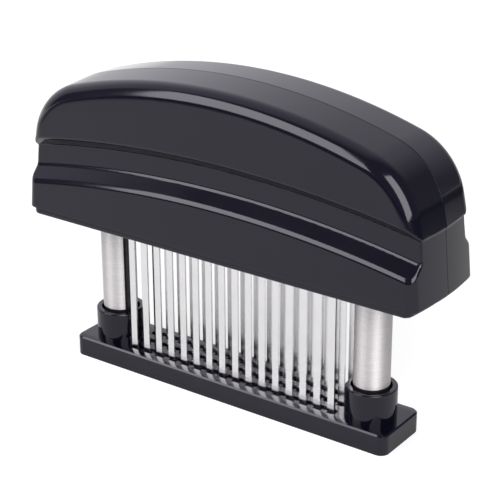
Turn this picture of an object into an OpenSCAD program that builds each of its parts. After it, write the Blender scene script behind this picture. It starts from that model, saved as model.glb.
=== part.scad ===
// Blade meat tenderizer: three rows of steel blades in a two-shell handle that is pressed down
// two sprung columns, so that the blades pass through the slots of a base plate.
// +X runs along the tool, -Y is its front, +Z is up. The origin is the centre of the base's underside.

/* [Base plate] */
// Distance from a column's axis to the end of the base plate
base_end = 11.8; // [10.6:0.2:16]
// Depth of the base plate, front to back
base_depth = 22.4; // [20.4:0.2:30]
// Thickness of the base plate
base_thickness = 7; // [6:0.25:12]
// Radius of the base plate's upright corners
base_corner = 3; // [1:0.25:5]
// Bevel along the top edge of the base plate
base_bevel = 0.5; // [0.2:0.1:1]
// Plastic left below a column's foot
base_floor = 3.5; // [3:0.25:5]

/* [Cups on the base] */
// Outer diameter of the cup round each column
cup_diameter = 16.8; // [15.8:0.2:18]
// Wall of the cup
cup_wall = 1.7; // [1:0.1:2]
// Height of the cup above the base plate
cup_height = 10.5; // [6:0.5:16]
// Distance from a column's axis to the flat that its cup turns to the blades
cup_flat = 7.2; // [6.6:0.1:7.6]
// Round on the cup's rim
rim_round = 0.45; // [0.1:0.05:0.6]

/* [Columns] */
// Distance from a column's axis to the end of the domed top
column_inset = 23.2; // [21.6:0.2:24.4]
// Outer diameter of the steel sleeve
sleeve_diameter = 11.9; // [11:0.1:12.4]
// Sheet thickness of the steel sleeve
sleeve_wall = 0.8; // [0.4:0.1:1.2]
// Half of the angle at which the sleeve is open towards the blades
sleeve_open_angle = 35; // [28:1:45]
// Distance from the column's axis to the flat of the core's rib
rib_reach = 5.55; // [5.2:0.05:5.6]
// Width of the flat of the core's rib
rib_width = 4.2; // [3:0.1:4.4]
// Bore of the hollow core
core_bore = 7; // [6.6:0.1:7.8]
// Height of the sleeve's lower end above the cup's rim
sleeve_lift = 0.8; // [0.2:0.1:3]

/* [Blades] */
// Blades in one row
blade_count = 16; // [4:1:18]
// Distance from a column's axis to the nearest blade
blade_margin = 11.1; // [10.7:0.1:14]
// Distance from row to row
row_spacing = 6.1; // [5.2:0.1:6.4]
// Width of a blade
blade_width = 2.4; // [1.6:0.1:2.8]
// Sheet thickness of the blades
blade_thickness = 0.6; // [0.4:0.1:0.8]
// Length of the ground point of a blade
blade_point = 2.2; // [1:0.1:3]
// Height of the points above the underside of the base, at rest
point_height = 2.4; // [1:0.2:4]

/* [Handle] */
// Length of the handle at its bottom edge
handle_length = 154; // [150:1:166]
// Depth of the handle's skirt
handle_depth = 36; // [35:0.5:42]
// How far the middle of each end bulges past its corners
end_bulge = 1.5; // [0.5:0.1:3]
// Radius of the skirt's upright corners
skirt_corner = 2.75; // [1:0.25:4]
// Height of the handle's bottom edge at rest
handle_bottom = 53.4; // [51:0.2:58]
// Height of the skirt's face at the middle of the handle
skirt_height = 18.5; // [16:0.5:21]
// Radius of the arch that the shelf and the groove follow
arch_radius = 401; // [360:1:600]
// Height that the shelf gains from the skirt to the neck
shelf_rise = 4; // [2:0.25:5]
// Depth of the handle at its neck
neck_depth = 27; // [26:0.5:28]
// Height of the neck above the shelf
neck_height = 7; // [5:0.2:8]
// Depth of the domed top
dome_depth = 35; // [34:0.2:36]
// How far the ends of the domed top stand back from the skirt's
dome_inset = 2.6; // [2.2:0.1:3.4]
// Height of the domed top above the line where its ends begin
dome_rise = 31.3; // [31:0.1:36]
// Radius of the top's long arc, seen from the front
dome_arc_radius = 172; // [168:1:190]
// Radius of the corner between the long arc and each end
dome_corner = 11; // [9:0.25:12]
// Angle at which the ends of the top lean inwards
dome_lean = 14; // [10:0.5:15]
// Radius of the edge between the top and its flat front
dome_round = 5; // [4:0.25:6]
// How far the top falls from its middle line to its flat front
dome_crown = 0.9; // [0.3:0.1:1.2]
// Wall of the handle's shells
shell_wall = 2.6; // [2:0.1:3]
// Thickness of the ribs inside the shells
shell_rib = 2; // [1.4:0.1:2.2]

/* [Motion] */
// How far the handle can be pressed down
travel = 31; // [20:0.5:31]
// Wire diameter of the return springs
spring_wire = 0.8; // [0.6:0.05:1]
// Turns of each return spring
spring_turns = 20; // [12:1:24]

/* [Screws] */
// Shank diameter of the screws
screw_shank = 2.9; // [2.5:0.1:3]
// Head diameter of the screws
screw_head = 5.8; // [5:0.1:6]
// Diameter of the bolts through the blade block
bolt_shank = 3; // [2.5:0.1:3.5]

/* [Hidden] */

// Cuts run this far past the faces they open.
past = 1;
// Gap between parts that slide or that are fitted loosely.
slide_gap = 0.1;
fit_gap = 0.05;
screw_gap = 0.05;
head_gap = 0.2;

// Length of a base screw inside the column's core.
base_screw_bite = 7;

// Places along the tool.
dome_half = handle_length / 2 - dome_inset;
column_x = dome_half - column_inset;
base_length = 2 * (column_x + base_end);
sleeve_r = sleeve_diameter / 2;
core_r = sleeve_r - sleeve_wall;
cup_r = cup_diameter / 2;
cup_bore_r = cup_r - cup_wall;
rim_z = base_thickness + cup_height;
sleeve_bottom = rim_z + sleeve_lift;
row_length = 2 * (column_x - blade_margin);
blade_pitch = row_length / (blade_count - 1);
rib_bevel = 0.25;

// Slots of the base plate.
slot_length = blade_width + 0.9;
slot_width = blade_thickness + 1;
groove_width = slot_width + 1.8;
groove_length = row_length + slot_length + 1;
groove_depth = 0.7;

// Blade block inside the handle.
block_half = row_length / 2 + blade_width / 2 + 0.4;
block_lift = 4.2;
block_bottom = handle_bottom + block_lift;
block_height = 18.5;
block_top = block_bottom + block_height;
header_rise = 4.4;
header_bottom = block_bottom + header_rise;
clamp_thickness = 3.2;
spacer_thickness = row_spacing - blade_thickness;
clamp_inner = row_spacing + blade_thickness / 2;
clamp_outer = clamp_inner + clamp_thickness;
bolt_drop = 7;
bolt_z = block_top - bolt_drop;
bolt_x = row_length * 0.37;
bolt_head_rim = 1.3;
bolt_head = bolt_shank + 2 * bolt_head_rim;
bolt_head_height = 2;

// Guide bush and what stops the column in it.
bush_bottom = handle_bottom + 0.5;
bush_height = 8.8;
bush_top = bush_bottom + bush_height;
bush_bore_r = sleeve_r + slide_gap;
bush_wall = 2.1;
bush_r = bush_bore_r + bush_wall;
flange_r = bush_r + 1.8;
flange_height = 2.1;
flange_lift = 4.1;
flange_bottom = bush_bottom + flange_lift;
ring_gap = 0.3;
ring_height = 1;
ring_bottom = bush_top + ring_gap;
ring_r = sleeve_r + 1.2;
ring_seat_r = core_r - 0.5;
sleeve_top = ring_bottom - fit_gap;
core_top = ring_bottom + ring_height + 0.9;

// Return spring, from the core's floor to the cap under the dome.
spring_floor = 2.5;
spring_seat = base_floor + base_screw_bite + spring_floor;
spring_gap = 0.4;
spring_r = core_bore / 2 - spring_gap - spring_wire / 2;
cap_bottom = core_top + travel + 0.5;
spring_length = cap_bottom - spring_seat - 2 * fit_gap;
cap_disc = 1.3;
cap_disc_r = spring_r + spring_wire / 2 + 1;
cap_pin_r = spring_r - spring_wire / 2 - 0.35;
cap_pin_length = 8;
cap_stub_r = 2.4;
cap_stub = 1.4;

// Arch of the handle.
skirt_top = handle_bottom + skirt_height;
arch_z = skirt_top - arch_radius;
arch_band = 60;
shelf_radius = arch_radius + shelf_rise;
groove_top_radius = shelf_radius + neck_height;

// Slope of the top's underside over the groove, and how far its ends hang below the groove.
groove_slope = 0.88;
dome_drop = 4.9;
dome_mid = skirt_top + shelf_rise + neck_height - dome_drop;
dome_top = dome_mid + dome_rise;
dome_skirt = 2;
dome_foot = dome_mid - dome_skirt;
skirt_half = handle_depth / 2;
wide_half = max(skirt_half, dome_depth / 2) + past;
neck_half = neck_depth / 2;
neck_draft = 0.3;
edge_bevel = 0.6;

// How far the neck's ends stand past the top's, and how much they lean in up to the groove.
neck_step = -0.2;
neck_lean = 0.5;
// Extra wall at the bulged ends, which also lean inwards.
end_wall = 1.5;
// Height above the handle's bottom edge at which the narrow space of the neck begins.
neck_room = 4;

// Round corner of the top, between its long arc and its leaning end.
arc_z = dome_top - dome_arc_radius;
corner_rise = dome_foot + dome_skirt / 2 - arc_z;
corner_offset = dome_half * cos(dome_lean) + corner_rise * sin(dome_lean) - dome_corner;
corner_along = sqrt(pow(dome_arc_radius - dome_corner, 2) - corner_offset * corner_offset);
corner_x = corner_offset * cos(dome_lean) - corner_along * sin(dome_lean);
corner_z = arc_z + corner_offset * sin(dome_lean) + corner_along * cos(dome_lean);
corner_turn = atan2(corner_z - arc_z, corner_x);

// Screws of the handle, as [x, z].
top_screw_rise = 14;
end_screw_reach = 15.3;
end_screw_rise = 6.6;
screw_places = [[column_x * 0.43, dome_mid + top_screw_rise],
    [column_x + end_screw_reach, handle_bottom + end_screw_rise]];
boss_r = 4;
screw_head_height = 1.8;
screw_bite = 8;
head_sink = 3;
pilot_r = screw_shank / 2 + screw_gap;

plastic = [0.13, 0.13, 0.15];
dark_plastic = [0.08, 0.08, 0.09];
steel = [0.78, 0.77, 0.76];
bright_steel = [0.86, 0.86, 0.88];
zinc = [0.62, 0.63, 0.65];

// ---- shared shapes -------------------------------------------------------------------

module at_column(side) {
    translate([side * column_x, 0, 0])
        rotate([0, 0, side > 0 ? 180 : 0])
            children();
}

// A bar with its two long top edges bevelled, along X.
module bevelled_bar(length, depth, height, bevel) {
    rotate([90, 0, 90])
        linear_extrude(length, center = true)
            polygon([[-depth / 2, 0], [depth / 2, 0], [depth / 2, height - bevel],
                [depth / 2 - bevel, height], [-depth / 2 + bevel, height],
                [-depth / 2, height - bevel]]);
}

// A rounded slab with a bevelled top edge.
module bevelled_slab(length, depth, height, corner, bevel) {
    bevelled_bar(length - 2 * corner, depth, height, bevel);
    rotate([0, 0, 90])
        bevelled_bar(depth - 2 * corner, length, height, bevel);
    for (x = [-1, 1], y = [-1, 1])
        translate([x * (length / 2 - corner), y * (depth / 2 - corner), 0])
            rotate_extrude($fn = 48)
                polygon([[0, 0], [corner, 0], [corner, height - bevel],
                    [corner - bevel, height], [0, height]]);
}

// Straight bar with round ends, seen from above.
module round_ended(length, width, height) {
    translate([0, 0, height / 2])
        cube([length - width, width, height], center = true);
    for (x = [-1, 1])
        translate([x * (length - width) / 2, 0, 0])
            cylinder(d = width, h = height, $fn = 32);
}

module hex_bar(across, height) {
    cylinder(d = across / cos(30), h = height, $fn = 6);
}

module cross_recess(width, depth) {
    for (turn = [0, 90])
        rotate([0, 0, turn])
            translate([-width / 2, -width / 8, -depth])
                cube([width, width / 4, depth + past]);
}

// Pan head screw that points down, its head's underside at the origin.
module screw(shank, head, head_height, length) {
    translate([0, 0, -length])
        cylinder(d = shank, h = length, $fn = 32);
    difference() {
        rotate_extrude($fn = 48)
            polygon([[0, 0], [head / 2, 0], [head / 2, head_height * 0.55],
                [head / 2 - head_height * 0.45, head_height], [0, head_height]]);
        translate([0, 0, head_height])
            cross_recess(head * 0.6, head_height * 0.5);
    }
}

// ---- base ----------------------------------------------------------------------------

module cup_outside() {
    difference() {
        rotate_extrude($fn = 96)
            union() {
                square([cup_r, rim_z - rim_round]);
                square([cup_r - rim_round, rim_z]);
                translate([cup_r - rim_round, rim_z - rim_round])
                    circle(rim_round, $fn = 24);
            }
        translate([cup_flat, -cup_r - past, base_thickness])
            cube([cup_r, 2 * (cup_r + past), rim_z]);
    }
}

module blade_slots() {
    for (row = [-1:1])
        translate([0, row * row_spacing, 0]) {
            translate([0, 0, base_thickness - groove_depth])
                round_ended(groove_length, groove_width, groove_depth + past);
            for (i = [0:blade_count - 1])
                translate([(i - (blade_count - 1) / 2) * blade_pitch, 0, base_thickness / 2])
                    cube([slot_length, slot_width, base_thickness + 2 * past], center = true);
        }
}

module base_plate() {
    head_face = screw_head_height + head_gap;
    color(plastic)
        difference() {
            union() {
                bevelled_slab(base_length, base_depth, base_thickness, base_corner, base_bevel);
                for (side = [-1, 1])
                    at_column(side)
                        cup_outside();
            }
            for (side = [-1, 1])
                at_column(side) {
                    translate([0, 0, base_floor])
                        cylinder(r = cup_bore_r, h = rim_z, $fn = 96);
                    translate([0, 0, -past])
                        cylinder(r = pilot_r, h = base_floor + 2 * past, $fn = 32);
                    translate([0, 0, -past])
                        cylinder(d = screw_head + 2 * head_gap, h = past + head_face, $fn = 48);
                }
            blade_slots();
        }
}

module base_screws() {
    head_face = screw_head_height + head_gap;
    screw_length = base_floor - head_face + base_screw_bite;
    color(zinc)
        for (side = [-1, 1])
            at_column(side)
                translate([0, 0, head_face])
                    mirror([0, 0, 1])
                        screw(screw_shank, screw_head, screw_head_height, screw_length);
}

// ---- columns -------------------------------------------------------------------------

// Wedge that opens towards the blades, its point on the column's axis.
module open_wedge(half_angle, reach, height) {
    linear_extrude(height)
        polygon([[0, 0], [reach * cos(half_angle), -reach * sin(half_angle)],
            [reach, -reach * sin(half_angle)], [reach, reach * sin(half_angle)],
            [reach * cos(half_angle), reach * sin(half_angle)]]);
}

module column_core() {
    root_angle = sleeve_open_angle - 2;
    root_r = core_r - rib_bevel;
    root = [root_r * cos(root_angle), root_r * sin(root_angle)];
    foot_r = sleeve_r - sleeve_wall / 4;
    half_flat = rib_width / 2;
    color(dark_plastic)
        difference() {
            union() {
                translate([0, 0, base_floor])
                    cylinder(r = core_r - fit_gap, h = core_top - base_floor, $fn = 96);
                translate([0, 0, base_floor])
                    cylinder(r = foot_r, h = sleeve_bottom - fit_gap - base_floor, $fn = 96);
                translate([0, 0, base_floor])
                    linear_extrude(sleeve_top - base_floor)
                        polygon([[core_bore / 2, -root[1]], [root[0], -root[1]],
                            [rib_reach - rib_bevel, -half_flat - rib_bevel], [rib_reach, -half_flat],
                            [rib_reach, half_flat], [rib_reach - rib_bevel, half_flat + rib_bevel],
                            [root[0], root[1]], [core_bore / 2, root[1]]]);
            }
            translate([0, 0, spring_seat])
                cylinder(d = core_bore, h = core_top, $fn = 64);
            translate([0, 0, base_floor - past])
                cylinder(r = pilot_r, h = past + base_screw_bite + 0.5, $fn = 32);
            translate([0, 0, ring_bottom - fit_gap])
                difference() {
                    cylinder(r = sleeve_r + past, h = ring_height + 2 * fit_gap, $fn = 96);
                    translate([0, 0, -past])
                        cylinder(r = ring_seat_r, h = ring_height + 2 * past, $fn = 96);
                }
        }
}

module column_sleeve() {
    color(steel)
        translate([0, 0, sleeve_bottom])
            difference() {
                cylinder(r = sleeve_r, h = sleeve_top - sleeve_bottom, $fn = 128);
                translate([0, 0, -past])
                    cylinder(r = core_r, h = sleeve_top - sleeve_bottom + 2 * past, $fn = 128);
                translate([0, 0, -past])
                    open_wedge(sleeve_open_angle, 2 * sleeve_r, sleeve_top - sleeve_bottom + 2 * past);
            }
}

// Snap ring in the groove near the core's top. It stops the handle at the top of its travel.
module stop_ring() {
    color(bright_steel)
        translate([0, 0, ring_bottom])
            difference() {
                cylinder(r = ring_r, h = ring_height, $fn = 96);
                translate([0, 0, -past])
                    cylinder(r = ring_seat_r + fit_gap, h = ring_height + 2 * past, $fn = 96);
                translate([0, 0, -past])
                    open_wedge(28, 2 * ring_r, ring_height + 2 * past);
            }
}

// ---- return spring -------------------------------------------------------------------

SIDES = 6;
RINGS = 8;

function coil_point(t) = let (turn = 360 * t)
    [spring_r * cos(turn), spring_r * sin(turn),
        spring_wire / 2 + t / spring_turns * (spring_length - spring_wire)];
function coil_ring(t) = let (turn = 360 * t, climb = (spring_length - spring_wire) / spring_turns,
    lean = atan2(climb, 2 * PI * spring_r), p = coil_point(t),
    out = [cos(turn), sin(turn), 0],
    up = [sin(turn) * sin(lean), -cos(turn) * sin(lean), cos(lean)])
    [for (k = [0:SIDES - 1]) let (a = 360 * k / SIDES)
        p + spring_wire / 2 * (cos(a) * out + sin(a) * up)];

COIL_STEPS = spring_turns * RINGS;
coil_rings = [for (i = [0:COIL_STEPS]) coil_ring(i / RINGS)];
// Least distance between the wire's own turns, measured point to point on neighbouring turns.
coil_gap = min([for (i = [0:RINGS]) norm(coil_point(i / RINGS + 1) - coil_point(i / RINGS))])
    - spring_wire;
echo(least_gap_between_turns = coil_gap);

module return_spring() {
    count = COIL_STEPS + 1;
    points = [for (ring = coil_rings) each ring];
    sides = [for (i = [0:COIL_STEPS - 1], k = [0:SIDES - 1]) let (
        a = i * SIDES + k, b = i * SIDES + (k + 1) % SIDES)
        each [[a, a + SIDES, b], [b, a + SIDES, b + SIDES]]];
    first = [for (k = [1:SIDES - 2]) [0, k, k + 1]];
    last = [for (k = [1:SIDES - 2]) let (e = (count - 1) * SIDES) [e, e + k + 1, e + k]];
    color(bright_steel)
        translate([0, 0, spring_seat + fit_gap])
            polyhedron(points, concat(sides, first, last));
}

module spring_cap() {
    color(dark_plastic) {
        translate([0, 0, cap_bottom - cap_pin_length])
            cylinder(r = cap_pin_r, h = cap_pin_length + cap_disc / 2, $fn = 48);
        translate([0, 0, cap_bottom])
            cylinder(r = cap_disc_r, h = cap_disc, $fn = 64);
        translate([0, 0, cap_bottom + cap_disc / 2])
            cylinder(r = cap_stub_r, h = cap_disc / 2 + cap_stub, $fn = 48);
    }
}

// ---- guide bush ----------------------------------------------------------------------

module guide_bush() {
    color(dark_plastic)
        difference() {
            union() {
                translate([0, 0, bush_bottom])
                    cylinder(r = bush_r, h = bush_height, $fn = 96);
                translate([0, 0, flange_bottom])
                    intersection() {
                        cylinder(r = flange_r, h = flange_height, $fn = 96);
                        translate([-flange_r - past, -flange_r - past, -past])
                            cube([flange_r + past + bush_r, 2 * (flange_r + past), 2 * bush_height]);
                    }
            }
            translate([0, 0, bush_bottom - past])
                cylinder(r = bush_bore_r, h = bush_height + 2 * past, $fn = 128);
        }
}

// ---- blades --------------------------------------------------------------------------

module blade_outline() {
    square_bottom = point_height + blade_point;
    translate([-block_half, header_bottom])
        square([2 * block_half, block_top - 0.4 - header_bottom]);
    for (i = [0:blade_count - 1])
        translate([(i - (blade_count - 1) / 2) * blade_pitch, 0])
            polygon([[-blade_width / 2, header_bottom + past], [-blade_width / 2, square_bottom],
                [-blade_width * 0.12, point_height], [blade_width * 0.12, point_height],
                [blade_width / 2, square_bottom], [blade_width / 2, header_bottom + past]]);
}

module bolt_holes(depth_from, depth_to) {
    for (x = [-bolt_x, 0, bolt_x])
        translate([x, depth_to, bolt_z])
            rotate([90, 0, 0])
                cylinder(d = bolt_shank + 2 * slide_gap, h = depth_to - depth_from, $fn = 32);
}

module blade_comb(row) {
    y = row * row_spacing;
    color(bright_steel)
        difference() {
            translate([0, y + blade_thickness / 2, 0])
                rotate([90, 0, 0])
                    linear_extrude(blade_thickness)
                        blade_outline();
            bolt_holes(y - past, y + past);
        }
}

module blade_spacer(side) {
    y = side * row_spacing / 2;
    color(dark_plastic)
        difference() {
            translate([-block_half, y - spacer_thickness / 2, block_bottom])
                cube([2 * block_half, spacer_thickness, block_height]);
            bolt_holes(y - spacer_thickness, y + spacer_thickness);
        }
}

module blade_clamp(side) {
    middle = (clamp_inner + clamp_outer) / 2;
    head_room = bolt_head_height + 2 * past;
    color(dark_plastic)
        difference() {
            translate([-block_half, side * middle - clamp_thickness / 2, block_bottom])
                cube([2 * block_half, clamp_thickness, block_height]);
            bolt_holes(side * middle - clamp_thickness, side * middle + clamp_thickness);
            for (x = [-bolt_x, 0, bolt_x])
                translate([x, side * (clamp_outer - bolt_head_height - head_gap), bolt_z])
                    rotate([side > 0 ? -90 : 90, 0, 0])
                        if (side < 0)
                            cylinder(d = bolt_head + 2 * head_gap, h = head_room, $fn = 48);
                        else
                            hex_bar(bolt_head + head_gap, head_room);
        }
}

module blade_bolts() {
    seat = clamp_outer - bolt_head_height - head_gap;
    color(zinc)
        for (x = [-bolt_x, 0, bolt_x])
            translate([x, -seat, bolt_z])
                rotate([90, 0, 0])
                    screw(bolt_shank, bolt_head, bolt_head_height, seat + clamp_outer - head_gap);
}

module blade_nuts() {
    seat = clamp_outer - bolt_head_height - head_gap;
    color(zinc)
        for (x = [-bolt_x, 0, bolt_x])
            translate([x, seat, bolt_z])
                rotate([-90, 0, 0])
                    difference() {
                        hex_bar(bolt_head - 0.1, bolt_head_height);
                        translate([0, 0, -past])
                            cylinder(d = bolt_shank + 2 * screw_gap, h = bolt_head_height + 2 * past,
                                $fn = 32);
                    }
}

// ---- handle --------------------------------------------------------------------------

// Ring about the arch's axis. Its section is given as [radius, depth] points.
module arched(section) {
    translate([0, 0, arch_z])
        rotate([90, 0, 0])
            rotate([0, 0, 75])
                rotate_extrude(angle = 30, $fn = 720)
                    polygon(section);
}

// Plan of the skirt: long flat sides, ends that bulge, rounded corners.
module skirt_plan(half_length, half_depth, height) {
    end_r = (half_depth * half_depth + end_bulge * end_bulge) / (2 * end_bulge);
    hull()
        for (side = [-1, 1], step = [-6:6]) {
            y = step / 6 * (half_depth - skirt_corner);
            x = half_length - end_r + sqrt(pow(end_r - skirt_corner, 2) - y * y);
            if (abs(step) == 6)
                translate([side * x, y, 0])
                    cylinder(r = skirt_corner, h = height, $fn = 32);
            else
                translate([side * (x + skirt_corner) - 0.01, y - 0.01, 0])
                    cube([0.02, 0.02, height]);
        }
}

// Skirt, shelf and neck.
module lower_form() {
    neck_top = groove_top_radius + 0.4;
    intersection() {
        hull() {
            translate([0, 0, handle_bottom])
                skirt_plan(handle_length / 2, skirt_half, 0.01);
            translate([0, 0, dome_mid])
                skirt_plan(dome_half + neck_step, skirt_half, 0.01);
            translate([0, 0, groove_top_radius + arch_z + past])
                skirt_plan(dome_half + neck_step - neck_lean, skirt_half, 0.01);
        }
        arched([[arch_radius - arch_band, -skirt_half - past],
            [arch_radius - edge_bevel - past, -skirt_half - past],
            [arch_radius, -skirt_half + edge_bevel], [shelf_radius, -neck_half],
            [neck_top, -neck_half + neck_draft], [neck_top, neck_half - neck_draft],
            [shelf_radius, neck_half], [arch_radius, skirt_half - edge_bevel],
            [arch_radius - edge_bevel - past, skirt_half + past],
            [arch_radius - arch_band, skirt_half + past]]);
    }
}

// Right half of the top's outline, seen from the front: leaning end, corner, long arc.
function dome_end_x(inset) = dome_half + dome_skirt / 2 * tan(dome_lean) - inset / cos(dome_lean);
function dome_side(inset, steps) = concat(
    [[dome_end_x(inset), dome_foot]],
    [for (i = [0:steps]) let (a = dome_lean + (corner_turn - dome_lean) * i / steps)
        [corner_x + (dome_corner - inset) * cos(a), corner_z + (dome_corner - inset) * sin(a)]],
    [for (i = [1:steps]) let (a = corner_turn + (90 - corner_turn) * i / steps)
        [(dome_arc_radius - inset) * cos(a), arc_z + (dome_arc_radius - inset) * sin(a)]]);

// Outline of the domed top, seen from the front, drawn in from the outside by inset.
module dome_outline(inset, steps, bottom) {
    side = dome_side(inset, steps);
    last = len(side) - 1;
    polygon(concat([[dome_end_x(inset), bottom]], side,
        [for (i = [last - 1:-1:0]) [-side[i][0], side[i][1]]], [[-dome_end_x(inset), bottom]]));
}

// Thin slice of the domed top at a depth.
module dome_slice(y, inset, steps) {
    fall = dome_crown * abs(y) / (dome_depth / 2);
    translate([0, y, 0])
        rotate([90, 0, 0])
            linear_extrude(0.01, center = true)
                dome_outline(inset + fall, steps, dome_mid - 2 * dome_corner);
}

// Domed top drawn in by inset: flat front and rear, rounded edges and a low ridge.
module dome_block(inset, steps, levels) {
    round = dome_round - inset;
    hull() {
        dome_slice(0, inset, steps);
        for (side = [-1, 1], i = [0:levels])
            dome_slice(side * (dome_depth / 2 - dome_round + round * sin(90 * i / levels)),
                inset + round * (1 - cos(90 * i / levels)), steps);
    }
}

// All that lies below the top's underside: flat over the neck, slanting up to the outside.
module below_dome(wall, flat_half) {
    low = groove_top_radius + (flat_half - neck_half) * groove_slope + wall;
    high = groove_top_radius + (wide_half - neck_half) * groove_slope + wall;
    arched([[arch_radius - arch_band, -wide_half], [high, -wide_half], [low, -flat_half],
        [low, flat_half], [high, wide_half], [arch_radius - arch_band, wide_half]]);
}

module dome_form() {
    difference() {
        dome_block(0, 10, 6);
        below_dome(0, neck_half);
    }
}

// Space inside the handle: wide in the skirt and in the top, narrower in the neck.
module cavity() {
    low_half = skirt_half - shell_wall;
    high_half = neck_half - neck_draft - shell_wall;
    low_end = handle_length / 2 - end_bulge - shell_wall - end_wall;
    intersection() {
        translate([0, 0, handle_bottom])
            cube([2 * low_end, 2 * low_half, arch_band], center = true);
        arched([[arch_radius - arch_band, -skirt_half], [arch_radius - shell_wall, -skirt_half],
            [arch_radius - shell_wall, skirt_half], [arch_radius - arch_band, skirt_half]]);
    }
    translate([0, high_half, 0])
        rotate([90, 0, 0])
            linear_extrude(2 * high_half)
                dome_outline(shell_wall + dome_crown, 8, handle_bottom + neck_room);
    difference() {
        dome_block(shell_wall, 8, 3);
        below_dome(shell_wall * sqrt(1 + groove_slope * groove_slope), high_half - past);
    }
}

// Ribs of both shells, for the whole depth of the handle. Each shell keeps its own side.
module inner_ribs() {
    low_half = skirt_half - shell_wall / 2;
    high_half = neck_half - neck_draft - shell_wall / 2;
    rib_start = column_x - bush_r;
    rib_end = column_x + flange_r + 1;
    seat_half = dome_depth / 2 - shell_wall / 2;
    for (side = [-1, 1]) {
        // plates above and below the guide bush's flange
        for (z = [flange_bottom - fit_gap - shell_rib, flange_bottom + flange_height + fit_gap])
            translate([min(side * rib_start, side * rib_end), -low_half, z])
                cube([rib_end - rib_start, 2 * low_half, shell_rib]);
        // seat of the spring cap
        translate([side * column_x - cap_disc_r, -seat_half, cap_bottom + cap_disc])
            cube([2 * cap_disc_r, 2 * seat_half, cap_stub - 0.4]);
    }
    // ledges under and over the blade block
    for (side = [-1, 1]) {
        ledge_y = clamp_outer - 0.5;
        translate([-block_half, side > 0 ? ledge_y : -low_half, block_bottom - fit_gap - shell_rib])
            cube([2 * block_half, low_half - ledge_y, shell_rib]);
        translate([-block_half, side > 0 ? ledge_y : -high_half, block_top + fit_gap])
            cube([2 * block_half, high_half - ledge_y, shell_rib]);
    }
    for (side = [-1, 1], place = screw_places)
        translate([side * place[0], wide_half, place[1]])
            rotate([90, 0, 0])
                cylinder(r = boss_r, h = 2 * wide_half, $fn = 48);
}

module fitted_ribs() {
    intersection() {
        difference() {
            inner_ribs();
            for (side = [-1, 1])
                translate([side * column_x, 0, handle_bottom - past])
                    cylinder(r = bush_r + fit_gap, h = bush_top - handle_bottom + 2 * past, $fn = 96);
        }
        cavity();
    }
}

module handle_shell(side) {
    y_face = side > 0 ? 0 : -wide_half;
    color(plastic)
        difference() {
            intersection() {
                union() {
                    difference() {
                        union() {
                            lower_form();
                            dome_form();
                        }
                        cavity();
                    }
                    fitted_ribs();
                }
                translate([-handle_length, y_face, handle_bottom - past])
                    cube([2 * handle_length, wide_half, dome_top - handle_bottom + 2 * past]);
            }
            for (x = [-1, 1], i = [0:1])
                translate([x * screw_places[i][0], 0, screw_places[i][1]])
                    rotate([-90, 0, 0])
                        screw_hole(side, i);
            for (x = [-1, 1])
                translate([x * column_x, 0, cap_bottom - fit_gap]) {
                    cylinder(r = cap_disc_r + fit_gap, h = cap_disc + fit_gap, $fn = 64);
                    cylinder(r = cap_stub_r + fit_gap, h = cap_disc + cap_stub + 2 * fit_gap, $fn = 48);
                }
        }
}

// Depth at which a handle screw's head sits, on the dome and on the skirt.
function head_seat(i) = (i == 0 ? dome_depth / 2 : skirt_half) - head_sink;

module screw_hole(side, i) {
    translate([0, 0, -screw_bite - past])
        cylinder(r = pilot_r, h = screw_bite + 2 * past + skirt_half, $fn = 32);
    if (side > 0)
        translate([0, 0, head_seat(i)])
            cylinder(d = screw_head + 2 * head_gap, h = skirt_half, $fn = 48);
}

module handle_screws() {
    color(zinc)
        for (x = [-1, 1], i = [0:1])
            translate([x * screw_places[i][0], head_seat(i), screw_places[i][1]])
                rotate([-90, 0, 0])
                    screw(screw_shank, screw_head, screw_head_height, head_seat(i) + screw_bite);
}

base_plate();
at_column(-1) column_core();  // column_core_left
at_column(1) column_core();  // column_core_right
at_column(-1) column_sleeve();  // column_sleeve_left
at_column(1) column_sleeve();  // column_sleeve_right
base_screws();
at_column(-1) return_spring();  // return_spring_left
at_column(1) return_spring();  // return_spring_right
at_column(-1) stop_ring();  // stop_ring_left
at_column(1) stop_ring();  // stop_ring_right
at_column(-1) guide_bush();  // guide_bush_left
at_column(1) guide_bush();  // guide_bush_right
at_column(-1) spring_cap();  // spring_cap_left
at_column(1) spring_cap();  // spring_cap_right
blade_comb(-1);  // blade_comb_front
blade_comb(0);  // blade_comb_middle
blade_comb(1);  // blade_comb_rear
blade_spacer(-1);  // blade_spacer_front
blade_spacer(1);  // blade_spacer_rear
blade_clamp(-1);  // blade_clamp_front
blade_clamp(1);  // blade_clamp_rear
blade_bolts();
blade_nuts();
handle_shell(-1);  // handle_front_shell
handle_shell(1);  // handle_rear_shell
handle_screws();
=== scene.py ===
import math

import bpy
import numpy as np
from mathutils import Matrix, Quaternion, Vector

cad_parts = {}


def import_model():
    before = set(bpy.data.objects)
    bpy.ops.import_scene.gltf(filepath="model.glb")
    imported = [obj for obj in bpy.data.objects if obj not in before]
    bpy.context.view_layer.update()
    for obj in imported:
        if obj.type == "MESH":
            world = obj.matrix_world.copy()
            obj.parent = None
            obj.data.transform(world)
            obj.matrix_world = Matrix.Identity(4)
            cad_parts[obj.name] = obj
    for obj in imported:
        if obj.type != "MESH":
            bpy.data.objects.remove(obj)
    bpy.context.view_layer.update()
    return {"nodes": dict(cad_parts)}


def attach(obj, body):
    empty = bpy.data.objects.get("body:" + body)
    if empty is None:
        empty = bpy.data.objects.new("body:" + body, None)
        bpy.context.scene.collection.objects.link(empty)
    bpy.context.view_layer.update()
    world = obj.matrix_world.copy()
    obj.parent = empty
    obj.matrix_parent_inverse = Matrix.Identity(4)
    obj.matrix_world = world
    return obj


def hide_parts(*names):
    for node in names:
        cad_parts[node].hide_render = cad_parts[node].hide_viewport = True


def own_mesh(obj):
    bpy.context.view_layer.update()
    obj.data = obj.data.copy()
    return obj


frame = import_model()

MM = 0.001

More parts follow.
